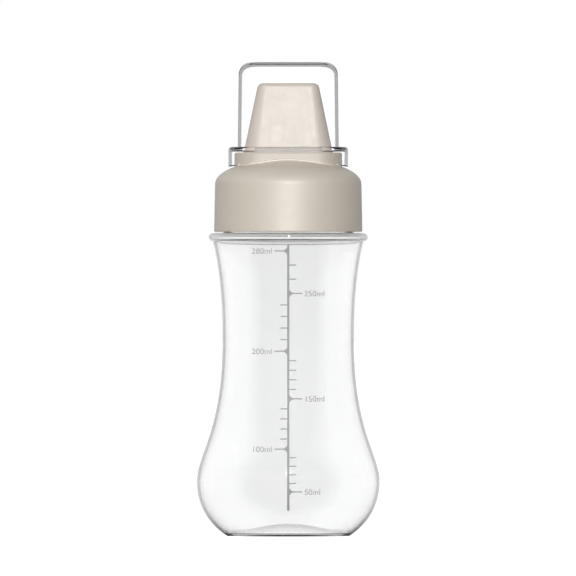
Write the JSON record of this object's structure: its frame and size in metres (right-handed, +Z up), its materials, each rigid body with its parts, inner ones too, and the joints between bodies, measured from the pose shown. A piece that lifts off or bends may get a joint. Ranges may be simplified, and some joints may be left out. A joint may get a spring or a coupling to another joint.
{
  "type": "squeeze condiment bottle",
  "caption": "Hourglass squeeze bottle in see-through plastic with a beige screw cap, a wide flat nozzle with a row of outlet holes and a clear pull-off dust cover.",
  "frame": {"origin": "centre of the foot, on the surface that the bottle stands on", "axes": "+Z up through the nozzle; -Y towards the front, where the volume scale is; the flat nozzle is wide along X"},
  "size_m": [0.072, 0.072, 0.1857],
  "materials": {
    "bottle_wall": "translucent, softly glossy natural plastic",
    "scale_ink": "thin grey printed ink",
    "cap_plastic": "satin beige moulded plastic",
    "spout_plastic": "satin beige moulded plastic, a little softer",
    "ring_silicone": "matt translucent silicone",
    "cover_clear": "clear, polished plastic"
  },
  "bodies": {
    "bottle": {"bottle": "bottle_wall"},
    "seal": {"sealing_ring": "ring_silicone"},
    "cap": {"screw_cap": "cap_plastic", "spout": "spout_plastic"},
    "cover": {"dust_cover": "cover_clear"}
  },
  "joints": [
    {"name": "cap_lift", "type": "slide", "parent": "bottle", "child": "seal", "axis": [0, 0, 1], "range_m": [0, 0.021]},
    {"name": "cap_turn", "type": "hinge", "parent": "seal", "child": "cap", "pos_m": [0, 0, 0.1288], "axis": [0, 0, 1], "range_deg": [0, 1080]},
    {"name": "cover_lift", "type": "slide", "parent": "cap", "child": "cover", "axis": [0, 0, 1], "range_m": [0, 0.045]}
  ],
  "couplings": [
    {"joint": "cap_lift", "follows": "cap_turn", "m_per_rad": 0.0011141}
  ]
}
